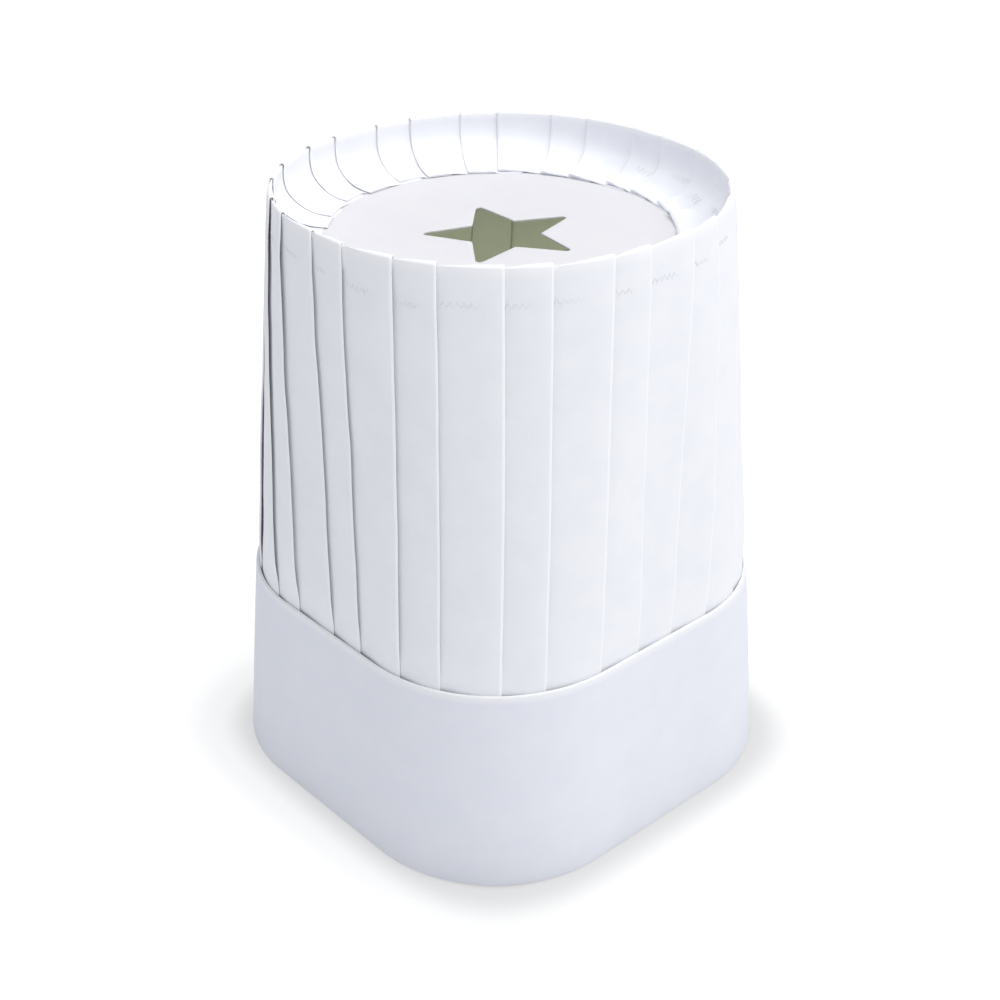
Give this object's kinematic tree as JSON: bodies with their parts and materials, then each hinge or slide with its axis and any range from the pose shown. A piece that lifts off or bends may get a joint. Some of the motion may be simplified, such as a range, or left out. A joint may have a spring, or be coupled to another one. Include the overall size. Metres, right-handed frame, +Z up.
{
  "type": "chef toque",
  "caption": "Tall pleated chef toque with a smooth stiff headband, a round rim, a recessed crown disc with a star vent, and a sliding size tab at the back.",
  "frame": {"origin": "centre of the base, in the plane of the headband's lower edge", "axes": "+Z up through the crown, -Y towards the forehead, the size closure on +Y, flats of the rounded-square band across X and Y"},
  "size_m": [0.1776, 0.1792, 0.23],
  "materials": {
    "band_cover": "matte",
    "pleated_sheet": "matte",
    "card": "matte",
    "disc_card": "matte",
    "sweatband": "matte",
    "tape": "matte",
    "thread": "satin",
    "touch_fastener": "matte"
  },
  "bodies": {
    "hat": {"headband_cover": "band_cover", "band_stiffener": "card", "sweatband": "sweatband", "sweatband_stitching": "thread", "pleated_wall": "pleated_sheet", "back_seam_tape": "tape", "crown_disc": "disc_card", "rim_stitching": "thread", "tongue_sleeve": "band_cover", "sleeve_stitching": "thread", "loop_strip": "touch_fastener"},
    "size_tab": {"size_tongue": "band_cover", "hook_strip": "touch_fastener"}
  },
  "joints": [
    {"name": "size_adjust", "type": "slide", "parent": "hat", "child": "size_tab", "axis": [1, 0, 0], "range_m": [0, 0.025]}
  ]
}
